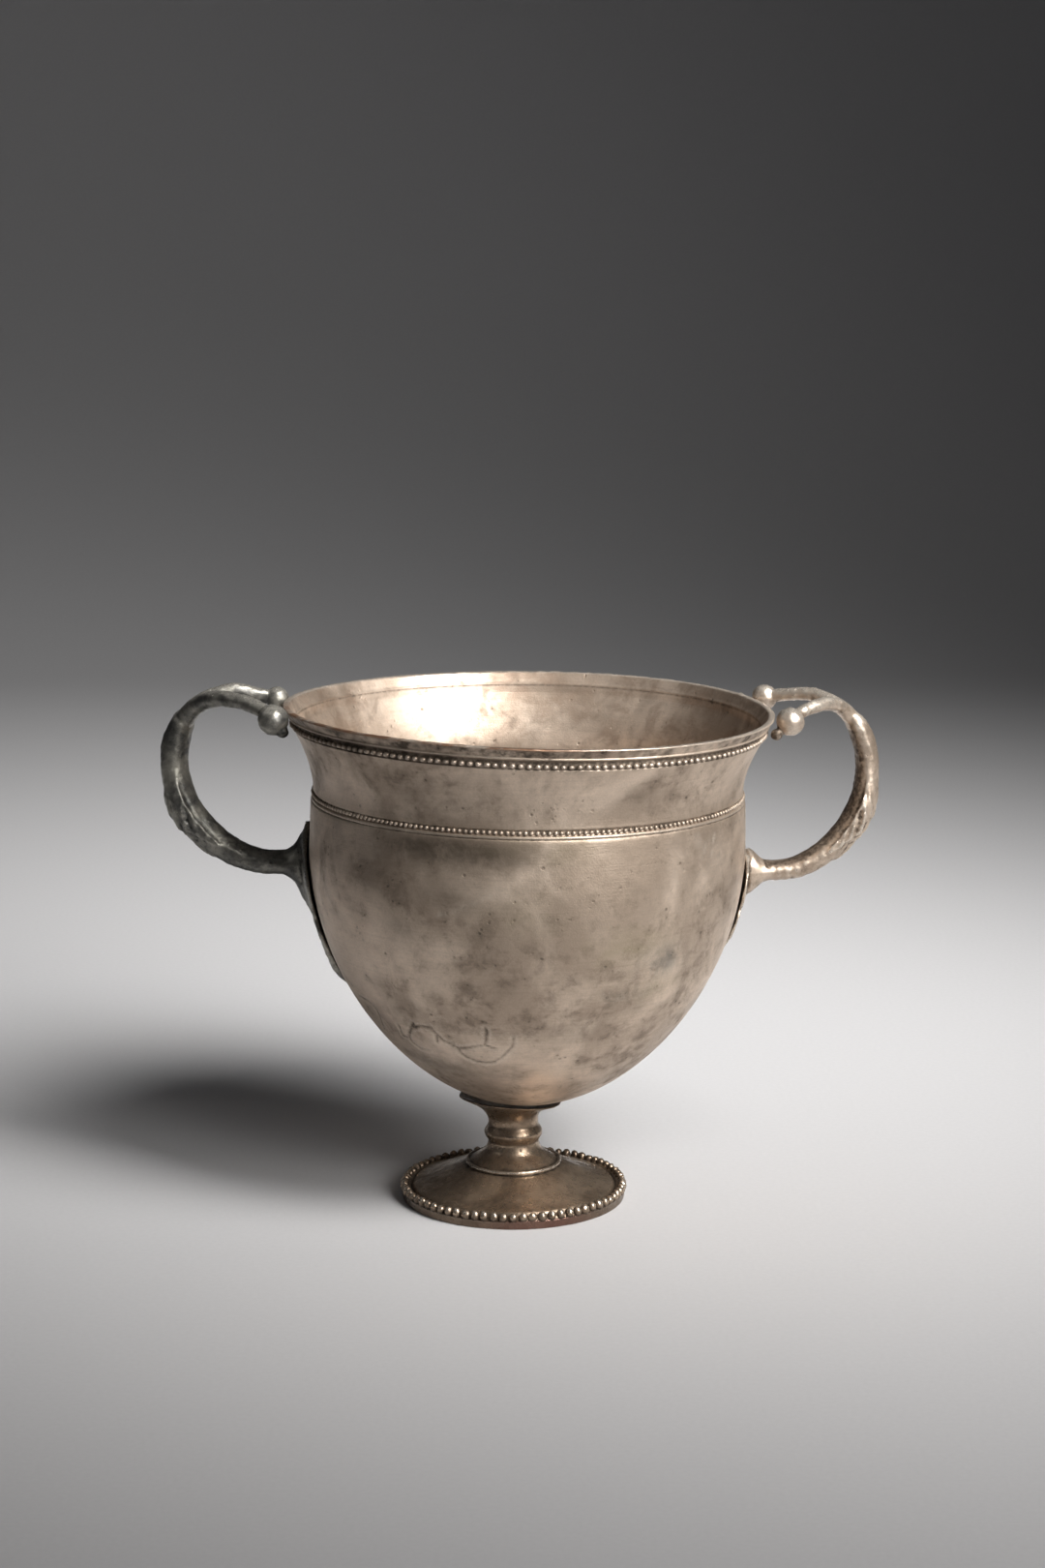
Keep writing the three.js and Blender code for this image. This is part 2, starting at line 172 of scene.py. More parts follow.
FOOT_X = -2.0
FOOT_RADIUS = 24.6
REST_WIDTH = 3.8
FOOT_STEPS = 288
DISC_RADIUS = 22.3
COLLAR_RADIUS = 10.6
COLLAR_HEIGHT = 8.0
STEM_RADIUS = 5.6
KNOP_RADIUS = 6.45
KNOP_HEIGHT = 14.65
KNOP_HALF = 1.95
FLANGE_RADIUS = 11.2
FLANGE_START = 17.0
FLANGE_HEIGHT = 22.0
FLANGE_X = -0.8
FLANGE_TILT = math.radians(4.5)
FLANGE_LIFT = math.radians(5.4)


def smooth_step(value, low, high):
    share = np.clip((value - low) / (high - low), 0, 1)
    return share * share * (3 - 2 * share)


def bell(value, middle, width):
    """Bell curve: 1 at the middle, a third of that one width away from it."""
    return np.exp(-(((value - middle) / width) ** 2))


def uneven(points, size, seed):
    """Smooth unevenness, about -1 to 1, whose humps are about that many millimetres wide."""
    wave = np.random.RandomState(seed)
    total = np.zeros(len(points))
    for _ in range(22):
        direction = wave.normal(size=3)
        direction *= wave.uniform(0.7, 1.6) * math.pi / size / np.linalg.norm(direction)
        total += np.sin(points @ direction + wave.uniform(0, 2 * math.pi))
    return total / 4.5


def round_over(centre_radius, centre_height, radius, start, end, count):
    """Points of an arc in a profile, in degrees: 0 is outward, 90 is up."""
    turns = [math.radians(start + (end - start) * i / count) for i in range(count + 1)]
    return [
        (centre_radius + radius * math.cos(t), centre_height + radius * math.sin(t)) for t in turns
    ]


def turned_shell(profile, steps):
    """Spins a profile of (radius, height) once round the upright axis."""
    shell = bmesh.new()
    chain = [shell.verts.new((radius, 0, height)) for radius, height in profile]
    edges = [shell.edges.new(pair) for pair in zip(chain, chain[1:])]
    bmesh.ops.spin(
        shell, geom=chain + edges, cent=(0, 0, 0), axis=(0, 0, 1),
        angle=2 * math.pi, steps=steps, use_merge=True,
    )
    bmesh.ops.remove_doubles(shell, verts=shell.verts, dist=1e-4)
    bmesh.ops.recalc_face_normals(shell, faces=shell.faces)
    return shell


def corners(mesh):
    flat = np.empty(len(mesh.vertices) * 3)
    mesh.vertices.foreach_get("co", flat)
    return flat.reshape(-1, 3)


def set_corners(mesh, points):
    mesh.vertices.foreach_set("co", np.asarray(points, np.float32).ravel())
    mesh.update()


def outward_ways(points, radius):
    """Level unit vectors from the axis to each point."""
    level = np.stack([points[:, 0], points[:, 1], 0 * radius], 1)
    return level / np.maximum(radius, 1e-6)[:, None]


def mark(mesh, name, values):
    """Stores one number for each corner of a mesh, for its material to read."""
    layer = mesh.attributes.new(name, "FLOAT", "POINT")
    layer.data.foreach_set("value", np.asarray(values, np.float32))


def finish_piece(mesh, material, stands_for=None):
    """Puts a finished mesh in the scene, riding on the part."""
    for polygon in mesh.polygons:
        polygon.use_smooth = True
    mesh.materials.append(material)
    piece = bpy.data.objects.new(mesh.name, mesh)
    bpy.context.scene.collection.objects.link(piece)
    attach(piece, "root")
    if stands_for:
        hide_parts(stands_for)


rest_inner = FOOT_RADIUS - 0.4 - REST_WIDTH
foot_profile = [
    (0, 3.3), (6, 3.05), (12, 2.4), (rest_inner - 2, 1.2), (rest_inner - 0.4, 0.4), (rest_inner, 0.05),
    (rest_inner + 0.3, 0), (FOOT_RADIUS - 0.9, 0), (FOOT_RADIUS - 0.45, 0),
    *round_over(FOOT_RADIUS - 0.35, 0.35, 0.35, -80, 0, 4),
    (FOOT_RADIUS, 0.8), (FOOT_RADIUS, 1.2), (FOOT_RADIUS, 1.55),
    *round_over(FOOT_RADIUS - 0.2, 1.7, 0.2, 0, 80, 3),
    (24.3, 1.92), (24.22, 2.2), (24.05, 2.5), (23.75, 2.68), (23.4, 2.7), (23.05, 2.5),
    (22.8, 2.2), (22.62, 2.05), (22.45, 2.15),
    (DISC_RADIUS - 0.1, 2.6), (DISC_RADIUS - 0.3, 2.95), (DISC_RADIUS - 0.7, 3.12),
    (21.0, 3.3), (20.0, 3.62), (18.5, 4.15), (17.0, 4.66), (15.5, 5.2), (14.0, 5.85), (12.8, 6.42),
    (11.9, 6.85), (11.2, 7.12), (10.75, 7.28), (10.35, 7.34), (10.2, 7.42), (10.15, 7.52),
    *round_over(COLLAR_RADIUS - 0.42, COLLAR_HEIGHT, 0.42, -65, 100, 8),
    (COLLAR_RADIUS - 0.75, COLLAR_HEIGHT + 0.22), (COLLAR_RADIUS - 0.95, COLLAR_HEIGHT + 0.24),
    (9.35, 8.42), (8.9, 8.78), (8.3, 9.2), (7.6, 9.66), (7.0, 10.06), (6.5, 10.5), (6.12, 11.0),
    (5.86, 11.6), (5.7, 12.2),
    *[(STEM_RADIUS + (KNOP_RADIUS - STEM_RADIUS) * (0.5 + 0.5 * math.cos(math.pi * t)) ** 0.75,
       KNOP_HEIGHT + KNOP_HALF * t) for t in np.linspace(-1, 1, 19)],
    (5.56, 16.9), (5.56, 17.2), (5.6, 17.7), (5.7, 18.2),
    (5.95, 18.9), (6.4, 19.5), (7.0, 20.0), (7.8, 20.45), (8.7, 20.85), (9.6, 21.2), (10.4, 21.5),
    (10.9, 21.68), (FLANGE_RADIUS, 21.8), (FLANGE_RADIUS + 0.05, 21.95), (FLANGE_RADIUS - 0.1, 22.1),
    (10.4, 22.0), (9.2, 21.75), (7.5, 21.3), (5.0, 20.75), (2.5, 20.5), (0, 20.45),
]
bm = turned_shell(foot_profile, FOOT_STEPS)
foot_mesh = bpy.data.meshes.new("foot_turned")
bm.to_mesh(foot_mesh)
bm.free()

points = corners(foot_mesh)
radius = np.hypot(points[:, 0], points[:, 1])
height = points[:, 2].copy()
# Darker in the groove inside the bead row and above the collar. Painted shade in the thin shadow line
# under the collar, at the knop's seats, and on the flange top in the gap under the bowl.
groove = bell(radius, 22.6, 0.35) * (height > 1.5) * (height < 3.0)
shadow_under_collar = bell(radius, 10.35, 0.35) * bell(height, 7.4, 0.3)
over_collar = bell(radius, 9.6, 0.3) * bell(height, 8.3, 0.3)
knop_seat_shade = (bell(height, 12.75, 0.3) + bell(height, 16.6, 0.3)) * (radius < 6.2)
flange_top = 20.4 + 1.4 * (radius / FLANGE_RADIUS) ** 2
shade_under_bowl = smooth_step(height - flange_top, 0, 0.2) * (height > 20)
collar = bell(radius, COLLAR_RADIUS, 0.4) * bell(height, COLLAR_HEIGHT, 0.38)
band_edge = bell(radius, FOOT_RADIUS, 0.15) * bell(height, 1.7, 0.3)
mark(foot_mesh, "recess", np.clip(
    groove + shadow_under_collar + over_collar + 0.5 * knop_seat_shade + shade_under_bowl, 0, 1))
mark(foot_mesh, "proud", np.clip(0.85 * collar + 0.3 * band_edge, 0, 1))
mark(foot_mesh, "band", smooth_step(radius, 24.1, 24.35) * (height < 2.4))
front_band = (radius > 24.2) & (height < 1.9) & (points[:, 1] < 0)
red_part = smooth_step(points[:, 0], -12, 4) * (1 - smooth_step(points[:, 0], 10, 20))
mark(foot_mesh, "red", np.where(front_band, red_part, 0))
nudge = 0.05 * uneven(points, 6, 3) + 0.025 * uneven(points, 1.6, 4) * (height > 0.5)
nudge *= (height > 0.3) * (radius > 1)
points += outward_ways(points, radius) * nudge[:, None]
points[:, 2] += 0.04 * uneven(points, 9, 5) * (height > 2)
tilt = smooth_step(height, FLANGE_START, FLANGE_HEIGHT)
fall = np.tan(FLANGE_TILT * tilt) * points[:, 0] + np.tan(FLANGE_LIFT * tilt) * points[:, 1]
points[:, 2] -= fall * (height > FLANGE_START)
points[:, 0] += FLANGE_X * tilt + FOOT_X
set_corners(foot_mesh, points * MM)


def attribute(tree, name):
    return add_node(tree, "ShaderNodeAttribute", {"attribute_name": name}, {}).outputs["Fac"]


def maths(tree, operation, first, second):
    node = add_node(tree, "ShaderNodeMath", {"operation": operation}, {0: first, 1: second})
    return node.outputs[0]


def between(tree, value, low, high, to_low=0.0, to_high=1.0):
    """Smooth ramp of a value from one range to another."""
    node = add_node(tree, "ShaderNodeMapRange", {"interpolation_type": "SMOOTHSTEP"}, {
        "Value": value, "From Min": low, "From Max": high, "To Min": to_low, "To Max": to_high,
    })
    return node.outputs[0]


def blend(tree, share, first, second, mode="MIX"):
    settings = {"data_type": "RGBA", "blend_type": mode}
    node = add_node(tree, "ShaderNodeMix", settings, {0: share, 6: first, 7: second})
    return node.outputs[2]


def noise(tree, where, scale, detail=4.0, roughness=0.55, distortion=0.0):
    node = add_node(tree, "ShaderNodeTexNoise", {}, {
        "Vector": where, "Scale": scale, "Detail": detail, "Roughness": roughness,
        "Distortion": distortion,
    })
    return node.outputs["Fac"]


def make_aged_silver():
    """Tarnish in clouds and fine mottles, dark pits, grime and painted shade in recesses, bright
    rubbed high places and painted highlights.
    """
    group = bpy.data.node_groups.new("aged_silver", "ShaderNodeTree")
    for way, kind, names in (
        ("INPUT", "NodeSocketColor", ("Bright", "Dull", "Dark")),
        ("INPUT", "NodeSocketFloat", ("Proud", "Recess", "Tarnish")),
        ("INPUT", "NodeSocketFloat", ("Cloud Scale", "Turning Lines", "Gloss")),
        ("OUTPUT", "NodeSocketColor", ("Color",)),
        ("OUTPUT", "NodeSocketFloat", ("Rough", "Height")),
    ):
        for name in names:
            group.interface.new_socket(name, in_out=way, socket_type=kind)
    given = group.nodes.new("NodeGroupInput").outputs
    where = add_node(group, "ShaderNodeTexCoord", {}, {}).outputs["Object"]
    clouds = noise(group, where, given["Cloud Scale"], 5, 0.6, 0.5)
    mottles = noise(group, where, maths(group, "MULTIPLY", given["Cloud Scale"], 5.3), 6, 0.65, 0.3)
    grain = noise(group, where, 2600, 3, 0.6)
    stretched = add_node(group, "ShaderNodeVectorMath", {"operation": "MULTIPLY"}, {
        0: where, 1: (55, 55, 2300),
    })
    lines = noise(group, stretched.outputs[0], 1.0, 4, 0.7)
    spots = add_node(group, "ShaderNodeTexVoronoi", {}, {
        "Vector": where, "Scale": 620, "Randomness": 1.0,
    })
    pit = between(group, spots.outputs["Distance"], 0.30, 0.12)
    pit = maths(group, "MULTIPLY", pit, between(group, mottles, 0.52, 0.66))
    colour = blend(group, between(group, clouds, 0.36, 0.64), given["Dull"], given["Bright"])
    clouded = between(group, clouds, 0.60, 0.42, 0.15, 1.0)
    film = maths(group, "MULTIPLY", between(group, mottles, 0.44, 0.70), clouded)
    dirt_and_shade = maths(group, "MULTIPLY", film, given["Tarnish"])
    dirt_and_shade = maths(group, "ADD", dirt_and_shade, maths(group, "MULTIPLY", pit, 0.45))
    # The recess mark darkens grooves, gaps and shaded faces in patches, as grime and painted shade.
    patchiness = between(group, noise(group, where, 1150, 2, 0.5), 0.36, 0.60, 0.55, 1.0)
    dirt_and_shade = maths(group, "ADD", dirt_and_shade, maths(group, "MULTIPLY", given["Recess"], patchiness))
    colour = blend(group, maths(group, "MINIMUM", dirt_and_shade, 1.0), colour, given["Dark"])
    # The proud mark lightens rubbed places and places painted bright as highlights.
    wear_and_sheen = maths(group, "MULTIPLY", given["Proud"], between(group, grain, 0.3, 0.6, 0.45, 1.0))
    colour = blend(group, wear_and_sheen, colour, blend(group, 0.5, given["Bright"], (0.95, 0.90, 0.80, 1)))
    turned = maths(group, "MULTIPLY", maths(group, "SUBTRACT", lines, 0.5), given["Turning Lines"])
    speckle = maths(group, "MULTIPLY", maths(group, "SUBTRACT", grain, 0.5), 0.35)
    light = maths(group, "ADD", 1.0, maths(group, "ADD", turned, speckle))
    grey = add_node(group, "ShaderNodeCombineColor", {}, {0: light, 1: light, 2: light})
    colour = blend(group, 1.0, colour, grey.outputs[0], "MULTIPLY")
    rough = between(group, mottles, 0.35, 0.7, 0.36, 0.52)
    rough = maths(group, "ADD", rough, maths(group, "MULTIPLY", dirt_and_shade, 0.14))
    rough = maths(group, "SUBTRACT", rough, maths(group, "MULTIPLY", wear_and_sheen, 0.12))
    rough = maths(group, "SUBTRACT", rough, given["Gloss"])
    rise = maths(group, "MULTIPLY", grain, 0.6)
    rise = maths(group, "ADD", rise, maths(group, "MULTIPLY", lines, 0.4))
    rise = maths(group, "SUBTRACT", rise, maths(group, "MULTIPLY", pit, 1.2))
    out = group.nodes.new("NodeGroupOutput").inputs
    group.links.new(colour, out["Color"])
    group.links.new(rough, out["Rough"])
    group.links.new(rise, out["Height"])
    return group


aged_silver = make_aged_silver()


def silver_material(name, bright, dull, dark, tarnish, cloud_scale, lines, relief, gloss):
    """A material of aged silver. Returns it with its tree, colour and shader, for more patches."""
    material, tree = new_material(name)
    age = tree.nodes.new("ShaderNodeGroup")
    age.node_tree = aged_silver
    for socket, value in (
        ("Bright", (*bright, 1)), ("Dull", (*dull, 1)), ("Dark", (*dark, 1)), ("Tarnish", tarnish),
        ("Cloud Scale", cloud_scale), ("Turning Lines", lines), ("Gloss", gloss),
    ):
        age.inputs[socket].default_value = value
    # proud carries rubbed places and painted highlights; recess carries grime and painted shade.
    tree.links.new(attribute(tree, "proud"), age.inputs["Proud"])
    tree.links.new(attribute(tree, "recess"), age.inputs["Recess"])
    bump = add_node(tree, "ShaderNodeBump", {}, {
        "Height": age.outputs["Height"], "Strength": relief, "Distance": 0.12 * MM,
    })
    surface = add_node(tree, "ShaderNodeBsdfPrincipled", {}, {
        "Base Color": age.outputs["Color"], "Roughness": age.outputs["Rough"],
        "Normal": bump.outputs[0],
    })
    surface.inputs["Metallic"].default_value = 0.72
    add_node(tree, "ShaderNodeOutputMaterial", {}, {"Surface": surface.outputs[0]})
    return material, tree, age.outputs["Color"], surface


foot_silver, tree, colour, surface = silver_material(
    "foot_brown_silver", bright=(0.50, 0.385, 0.28), dull=(0.29, 0.215, 0.152),
    dark=(0.05, 0.037, 0.027), tarnish=0.5, cloud_scale=70, lines=0.14, relief=0.5, gloss=0.13)
surface.inputs["Metallic"].default_value = 0.84
for name, strength, tint in (
    ("band", 0.72, (0.085, 0.062, 0.046)), ("red", 0.6, (0.17, 0.075, 0.06)),
):
    share = maths(tree, "MULTIPLY", attribute(tree, name), strength)
    colour = blend(tree, share, colour, (*tint, 1))
tree.links.new(colour, surface.inputs["Base Color"])
finish_piece(foot_mesh, foot_silver, "foot")


# --- Beads of the foot -----------------------------------------------------------------------
# Seventy-two beads cast with the foot and cut free with a graver, so that no two are quite alike.
# Their tops are painted bright as highlight with some rubbing, and the gaps between them are painted
# dark as shade with some grime.

FOOT_BEADS = 72
BEAD_RING_RADIUS = 24.1
BEAD_RING_HEIGHT = 2.6


def bead_row(name, count, row_radius, row_height, half, seed, sides, rings, jitter):
    """Ring of beads. half is each bead's half size along the row, outward, and up."""
    row = bmesh.new()
    bead = bmesh.ops.create_uvsphere(row, u_segments=sides, v_segments=rings, radius=1)["verts"]
    bmesh.ops.scale(row, verts=bead, vec=(half[1], half[0], half[2]))
    bmesh.ops.translate(row, verts=bead, vec=(row_radius, 0, row_height))
    bmesh.ops.spin(
        row, geom=row.verts[:] + row.edges[:] + row.faces[:], cent=(0, 0, 0), axis=(0, 0, 1),
        angle=2 * math.pi * (count - 1) / count, steps=count - 1, use_duplicate=True,
    )
    bmesh.ops.recalc_face_normals(row, faces=row.faces)
    mesh = bpy.data.meshes.new(name)
    row.to_mesh(mesh)
    row.free()
    shake = np.random.RandomState(seed).uniform(-1, 1, (5, count)) * jitter
    x, y, z = corners(mesh).T
    which = np.rint(np.arctan2(y, x) * count / (2 * math.pi)).astype(int) % count
    centre = which * 2 * math.pi / count
    out = (x * np.cos(centre) + y * np.sin(centre) - row_radius) * (1 + shake[0][which])
    along = (y * np.cos(centre) - x * np.sin(centre)) * (1 + shake[1][which])
    up = (z - row_height) * (1 + shake[2][which]) + 0.5 * half[2] * shake[3][which]
    centre = centre + 0.4 * shake[4][which] * 2 * math.pi / count
    set_corners(mesh, np.stack([
        (row_radius + out) * np.cos(centre) - along * np.sin(centre),
        (row_radius + out) * np.sin(centre) + along * np.cos(centre),
        row_height + up,
    ], 1))
    return mesh


foot_bead_mesh = bead_row(
    "foot_beads", FOOT_BEADS, BEAD_RING_RADIUS, BEAD_RING_HEIGHT, half=(0.98, 0.98, 1.1),
    seed=11, sides=14, rings=9, jitter=0.12)
points = corners(foot_bead_mesh)
radius = np.hypot(points[:, 0], points[:, 1])
reach = (points[:, 2] - BEAD_RING_HEIGHT) / 1.12 * 0.75
reach += (radius - BEAD_RING_RADIUS - 0.05) / 0.98 * 0.55
# Painted highlight with rubbing on the tops, painted shade with grime low between the beads.
mark(foot_bead_mesh, "proud", smooth_step(reach, 0.55, 1.0))
mark(foot_bead_mesh, "recess", 0.9 * (1 - smooth_step(reach, -0.1, 0.6)))
mark(foot_bead_mesh, "band", 0.5 * (1 - smooth_step(reach, 0.2, 0.7)))
mark(foot_bead_mesh, "red", 0 * radius)
points += 0.05 * np.stack([uneven(points, 0.8, seed) for seed in (21, 22, 23)], 1)
points[:, 0] += FOOT_X
set_corners(foot_bead_mesh, points * MM)
finish_piece(foot_bead_mesh, foot_silver)


# --- Bowl ------------------------------------------------------------------------------------
# Raised from one sheet of silver about 1.25 mm thick: round pointed belly, a shoulder, a hollow
# neck and a thickened lip. It leans a little, its mouth is warped, and it has old dents low down.

BOWL_STEPS = 352
BELLY_POINTS = 84
BELLY_RADIUS = 47.3
BELLY_HEIGHT = 79.0
BELLY_DEPTH = 57.5
BELLY_POWER = 1.86
NECK_RADIUS = 46.5
NECK_HEIGHT = 92.4
NECK_TOP_RADIUS = 50.8
NECK_TOP_HEIGHT = 104.9
NECK_POWER = 1.7
RIM_RADIUS = 52.9
RIM_HEIGHT = 109.5
WALL = 1.25
SHOULDER_HEIGHT = 89.5
BOWL_X = 0.25
BOWL_LEAN = math.radians(0.6)
RIM_WARP = 0.35


def neck_radius(height):
    rise = max(0.0, (height - NECK_HEIGHT) / (NECK_TOP_HEIGHT - NECK_HEIGHT))
    return NECK_RADIUS + (NECK_TOP_RADIUS - NECK_RADIUS) * rise ** NECK_POWER


def belly_arc(offset, count):
    arc = []
    for i in range(count + 1):
        turn = math.pi / 2 * i / count
        arc.append((
            (BELLY_RADIUS + offset) * math.sin(turn) ** (2 / BELLY_POWER),
            BELLY_HEIGHT - (BELLY_DEPTH + offset) * max(0.0, math.cos(turn)) ** (2 / BELLY_POWER),
        ))
    return arc


def belly_radius(height):
    down = np.clip((BELLY_HEIGHT - height) / BELLY_DEPTH, 0, 1)
    return BELLY_RADIUS * (1 - down ** BELLY_POWER) ** (1 / BELLY_POWER)


def lean(x, y, z):
    """Leans points with the bowl, from millimetres to the part's frame in metres."""
    cos, sin = math.cos(BOWL_LEAN), math.sin(BOWL_LEAN)
    return np.stack([x * cos + z * sin + BOWL_X, y, z * cos - x * sin], 1) * MM


def on_cup(points):
    """Warps the mouth of the upright bowl and leans it."""
    x, y, z = points.T
    settled = smooth_step(z, SHOULDER_HEIGHT, RIM_HEIGHT)
    rise = -x * math.tan(BOWL_LEAN) + RIM_WARP * np.sin(2 * np.arctan2(y, x))
    return lean(x, y, z + rise * settled)


def bowl_unevenness(points):
    """How far the beaten sheet stands out from a true round, in millimetres."""
    rise = 0.07 * uneven(points, 26, 31) + 0.03 * uneven(points, 7, 32)
    return rise * (0.35 + 0.65 * (1 - smooth_step(points[:, 2], 84, 92)))


outside = [
    *belly_arc(0, BELLY_POINTS),
    (47.28, 80.5), (47.25, 82), (47.22, 83.5), (47.18, 85), (47.13, 86.5), (47.08, 88), (47.05, 88.9),
    (47.0, 89.4), (46.94, 89.62), (46.76, 89.74), (46.76, 89.82), (46.92, 89.94), (46.9, 90.2),
    (46.82, 90.4), (46.55, 90.52), (46.4, 90.62), (46.4, 90.8), (46.42, 91.1), (46.38, 91.4),
    (46.34, 91.62), (46.4, 91.75), (46.5, 91.85), (46.5, 92.1),
    *[(neck_radius(92.4 + 0.5 * i), 92.4 + 0.5 * i) for i in range(25)],
    (50.72, 104.7), (50.74, 104.84), (50.62, 104.92), (50.66, 105.04), (50.8, 105.2), (50.85, 105.6),
    (50.85, 105.95), (50.8, 106.2), (50.78, 106.42), (50.82, 106.62), (51.0, 106.8), (51.4, 106.95),
    (51.74, 107.08), (51.84, 107.22), (51.8, 107.36), (51.68, 107.48), (51.74, 107.62), (51.95, 107.9),
    (52.2, 108.2), (52.42, 108.5), (52.62, 108.8), (52.8, 109.05),
    *round_over(RIM_RADIUS - 0.3, RIM_HEIGHT - 0.3, 0.3, -25, 95, 6),
]
inside = [
    (52.3, 109.5), (51.95, 109.5), (51.7, 109.42), (51.5, 109.25), (51.35, 108.95), (51.1, 108.5),
    (50.8, 108.0), (50.55, 107.5), (50.35, 107.2), (50.2, 107.05), (50.1, 106.92), (50.08, 106.78),
    (50.06, 106.6), (49.95, 106.2), (49.77, 105.6), (49.63, 105.1),
    *[(neck_radius(z) - WALL, z) for z in np.linspace(104.9, 92.4, 22)],
    (45.3, 91.6), (45.4, 90.6), (45.6, 89.4), (45.75, 88.2), (45.85, 86.5), (45.93, 84.5), (46.0, 82),
    *reversed(belly_arc(-WALL, 60)),
]
bm = turned_shell(outside + inside, BOWL_STEPS)

# Creases of an old dent, low on the front left: azimuth in degrees and height
CREASES = [
    [(222.7, 45.0), (221.1, 42.3), (225.3, 42.5), (229.0, 45.2), (231.5, 46.9)],
    [(229.0, 45.2), (234.1, 46.6), (237.7, 46.5), (239.3, 44.9), (238.2, 42.9)],
    [(225.3, 42.5), (225.2, 41.2), (227.7, 40.0), (232.2, 40.0)],
    [(237.9, 46.8), (239.1, 45.3), (240.9, 43.6), (244.0, 42.8), (246.3, 42.0), (249.5, 42.6),
     (253.0, 43.2), (256.1, 43.8), (258.5, 43.1), (260.1, 42.9)],
    [(256.1, 43.8), (257.1, 45.4), (257.6, 46.9), (257.4, 48.3)],
    [(265.9, 45.8), (265.5, 43.8), (263.8, 42.4), (261.6, 40.7), (258.5, 39.3), (254.8, 38.8),
     (251.3, 39.1), (248.0, 39.9), (246.2, 41.0), (246.3, 42.0)],
    [(203.3, 49.1), (210.7, 48.7), (212.5, 47.4), (210.6, 44.9), (207.9, 41.8)],
]


def about_dent(corner):
    """Whether a corner lies on the outside of the belly, about the old dent."""
    x, y, z = corner.co
    return (36 < z < 51 and 200 < math.degrees(math.atan2(y, x)) % 360 < 269
            and math.hypot(x, y) > belly_radius(z) - 0.4)


dented = [edge for edge in bm.edges if all(about_dent(corner) for corner in edge.verts)]
bmesh.ops.subdivide_edges(bm, edges=dented, cuts=1, use_grid_fill=True)
bowl_mesh = bpy.data.meshes.new("bowl_raised")
bm.to_mesh(bowl_mesh)
bm.free()

points = corners(bowl_mesh)
radius = np.hypot(points[:, 0], points[:, 1])
height = points[:, 2].copy()
azimuth = np.degrees(np.arctan2(points[:, 1], points[:, 0])) % 360


def outer_radius(profile):
    return np.interp(height, [z for _, z in profile], [r for r, _ in profile])


belly_inside = (height < 91) & (radius < outer_radius(outside[:BELLY_POINTS + 1]) - 0.7)
neck_inside = (height >= 91) & (radius < outer_radius(outside[BELLY_POINTS + 1:]) - 0.8)
inner = (belly_inside | neck_inside & (height < 109.3)) & (radius < 52)


def across_from(place):
    """Distance round the bowl from an azimuth to each corner."""
    return np.radians((azimuth - place + 180) % 360 - 180) * radius


def away_from(lines, scale_height):
    """Distance over the bowl's surface from each corner to the nearest of some lines."""
    around = np.radians(azimuth) * np.maximum(radius, 10)
    nearest = np.full(len(points), 99.0)
    close = (azimuth > 195) & (azimuth < 275) & (height > 34) & (height < 82)
    for line in lines:
        for (a0, z0), (a1, z1) in zip(line, line[1:]):
            r = np.maximum(radius[close], 10)
            p = np.stack([around[close], height[close] * scale_height], 1)
            start = np.stack([math.radians(a0) * r, np.full(len(r), z0 * scale_height)], 1)
            span = np.stack([math.radians(a1) * r, np.full(len(r), z1 * scale_height)], 1) - start
            share = np.clip(((p - start) * span).sum(1) / (span * span).sum(1), 0, 1)
            gap = np.linalg.norm(p - start - span * share[:, None], axis=1)
            nearest[close] = np.minimum(nearest[close], gap)
    return nearest


from_crease = away_from(CREASES, 1.3) + 0.07 * uneven(points, 2.0, 41)
crease_depth = 0.22 * bell(np.maximum(from_crease, 0), 0, 0.26)
crease_swell = 0.08 * bell(from_crease, 1.3, 0.8)
sunk = np.zeros(len(points))
for place, level, width, depth in (
    (209, 46.5, 5.5, 0.55), (216, 43.0, 4.0, 0.35), (229.5, 43.5, 3.2, -0.22),
    (252, 41.2, 3.6, -0.2), (258, 44.8, 2.4, -0.15), (246, 46.5, 5, 0.18),
    (300, 52.5, 7, 0.12), (309, 62, 6, 0.10),
):
    across = across_from(place)
    sunk += depth * np.exp(-(across ** 2 + (1.3 * (height - level)) ** 2) / width ** 2)
SCRATCH = [(247.5, 73.5), (250.5, 74.1), (254.9, 75.8), (261.4, 78.4)]
scratch = bell(away_from([SCRATCH], 1.05), 0, 0.25)
push = bowl_unevenness(points) - sunk - crease_depth + crease_swell - 0.04 * scratch
push *= smooth_step(radius, 2, 12)
lip = smooth_step(height, 107.4, 108.2)
push += lip * ~inner * (0.05 * uneven(points, 0.7, 51) + 0.05 * uneven(points, 14, 52))
outward = outward_ways(points, radius)
points += outward * push[:, None]
burr = 0.25 * bell(azimuth, 25.5, 0.6)
points[:, 2] += smooth_step(height, 109.2, 109.45) * (0.05 * uneven(points, 1.1, 53) - 0.03 + burr)

# Small dots punched in the shoulder with a blunt point, front right
dots = np.zeros(len(points))
for place, level in ((317.6, 87.6), (320.8, 84.9), (319.6, 84.0), (318.6, 86.2),
                     (322.9, 86.0), (325.2, 86.6), (324.4, 83.2), (327.8, 81.6)):
    dots += np.exp(-(across_from(place) ** 2 + (height - level) ** 2) / 0.42 ** 2)
points -= outward * (0.12 * dots * ~inner)[:, None]

